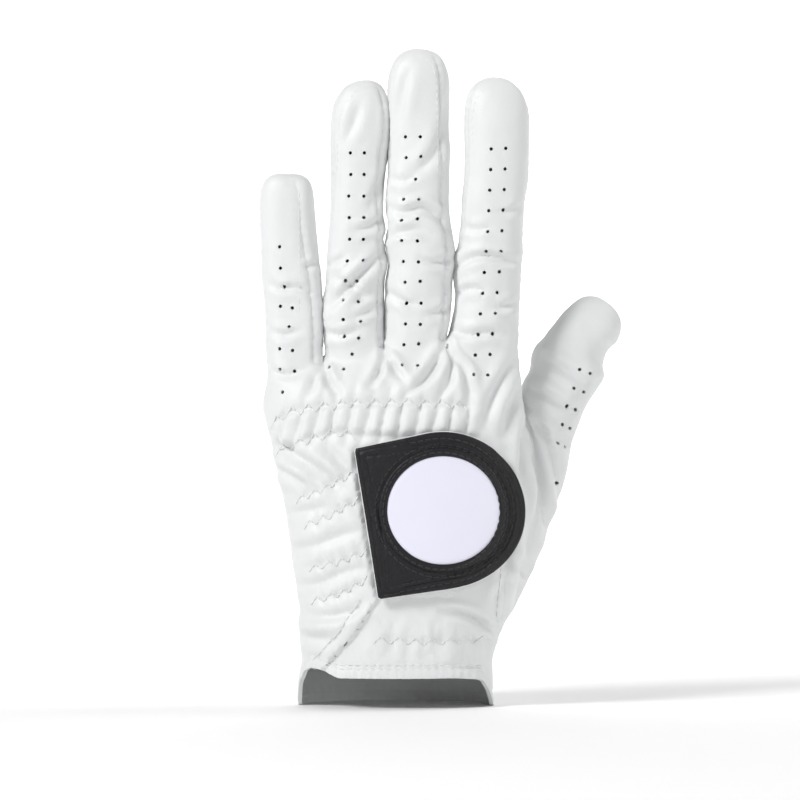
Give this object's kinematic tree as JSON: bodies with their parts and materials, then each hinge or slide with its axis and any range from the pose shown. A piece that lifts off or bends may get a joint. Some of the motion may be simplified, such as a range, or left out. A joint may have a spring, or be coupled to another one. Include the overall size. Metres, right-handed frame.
{
  "type": "golf glove",
  "caption": "Left-hand golf glove of soft white leather, shaped as worn, with perforated finger backs, elasticated knuckles and wrist, and a black closure tab with a plain round label.",
  "frame": {"origin": "middle of the wrist opening, level with the cuff's lowest edge", "axes": "+Z from the cuff to the fingertips, -Y out of the back of the hand, +X to the thumb's side"},
  "size_m": [0.1068, 0.0478, 0.1971],
  "materials": {
    "white_leather": "matt, soft, fine grain",
    "side_leather": "matt, soft, fine grain",
    "hem_leather": "matt, folded and stitched",
    "elastic": "woven elastic",
    "loop_face": "fine looped pile",
    "hook_face": "stiff hook pile",
    "lining": "matt woven",
    "black_leather": "grained, satin",
    "black_trim": "stitched ridge, satin",
    "label_face": "smooth, plain, no mark"
  },
  "bodies": {
    "hand": {"back_panel": "white_leather", "cuff_hem_back": "hem_leather", "cuff_hem_palm": "hem_leather", "cuff_hem_side": "hem_leather", "knuckle_elastic": "elastic", "knuckle_fold_back": "white_leather", "knuckle_fold_palm": "white_leather", "loop_patch": "loop_face", "palm_panel": "white_leather", "side_elastic_high": "elastic", "side_elastic_low": "elastic", "slit_facing": "white_leather", "thumb_base_fold": "white_leather", "wrist_elastic_back": "elastic", "wrist_elastic_palm": "elastic"},
    "finger_block": {"index_back_lower": "white_leather", "index_joint_fold": "white_leather", "index_palm_lower": "white_leather", "index_sidewall_to_little_lower": "side_leather", "little_back_lower": "white_leather", "little_joint_fold": "white_leather", "little_palm_lower": "white_leather", "little_sidewall_to_index_lower": "side_leather", "middle_back_lower": "white_leather", "middle_joint_fold": "white_leather", "middle_palm_lower": "white_leather", "middle_sidewall_to_index_lower": "side_leather", "middle_sidewall_to_little_lower": "side_leather", "ring_back_lower": "white_leather", "ring_joint_fold": "white_leather", "ring_palm_lower": "white_leather", "ring_sidewall_to_index_lower": "side_leather", "ring_sidewall_to_little_lower": "side_leather"},
    "little_tip": {"little_back_upper": "white_leather", "little_palm_upper": "white_leather", "little_sidewall_to_index_upper": "side_leather"},
    "ring_tip": {"ring_back_upper": "white_leather", "ring_palm_upper": "white_leather", "ring_sidewall_to_index_upper": "side_leather", "ring_sidewall_to_little_upper": "side_leather"},
    "middle_tip": {"middle_back_upper": "white_leather", "middle_palm_upper": "white_leather", "middle_sidewall_to_index_upper": "side_leather", "middle_sidewall_to_little_upper": "side_leather"},
    "index_tip": {"index_back_upper": "white_leather", "index_palm_upper": "white_leather", "index_sidewall_to_little_upper": "side_leather"},
    "thumb": {"thumb_fold": "white_leather", "thumb_lower": "white_leather"},
    "thumb_tip": {"thumb_tip_back": "white_leather", "thumb_tip_palm": "white_leather"},
    "tab": {"hook_patch": "hook_face", "label_disc": "label_face", "label_frame": "black_trim", "tab_leather": "black_leather", "tab_lining": "lining", "tab_trim": "black_trim"}
  },
  "joints": [
    {"name": "knuckle_flex", "type": "hinge", "parent": "hand", "child": "finger_block", "pos_m": [0, 0, 0.097], "axis": [-1, 0, 0], "range_deg": [-10, 40], "deforming": ["knuckle_fold_back", "knuckle_fold_palm"]},
    {"name": "little_flex", "type": "hinge", "parent": "finger_block", "child": "little_tip", "pos_m": [-0.0322, 0.0015, 0.12698], "axis": [-0.9992, 0, -0.0401], "range_deg": [-5, 75], "deforming": ["little_joint_fold"]},
    {"name": "ring_flex", "type": "hinge", "parent": "finger_block", "child": "ring_tip", "pos_m": [-0.01275, 0.0008, 0.13999], "axis": [-0.9998, 0, 0.0175], "range_deg": [-5, 75], "deforming": ["ring_joint_fold"]},
    {"name": "middle_flex", "type": "hinge", "parent": "finger_block", "child": "middle_tip", "pos_m": [0.00572, -0.0008, 0.147], "axis": [-0.9999, 0, 0.0105], "range_deg": [-5, 75], "deforming": ["middle_joint_fold"]},
    {"name": "index_flex", "type": "hinge", "parent": "finger_block", "child": "index_tip", "pos_m": [0.02721, 0, 0.13896], "axis": [-0.999, 0, 0.0454], "range_deg": [-5, 75], "deforming": ["index_joint_fold"]},
    {"name": "thumb_swing", "type": "hinge", "parent": "hand", "child": "thumb", "pos_m": [0.03663, 0.014, 0.06], "axis": [0.0209, 0, 0.9998], "range_deg": [-3, 20], "deforming": ["thumb_base_fold"]},
    {"name": "thumb_flex", "type": "hinge", "parent": "thumb", "child": "thumb_tip", "pos_m": [0.0472, 0.0155, 0.094], "axis": [-0.7972, -0.5, 0.3384], "range_deg": [-10, 50], "deforming": ["thumb_fold"]},
    {"name": "tab_hinge", "type": "hinge", "parent": "hand", "child": "tab", "pos_m": [-0.01015, -0.02085, 0.0547], "axis": [0.1568, -0.0685, -0.9852], "range_deg": [0, 150]}
  ]
}
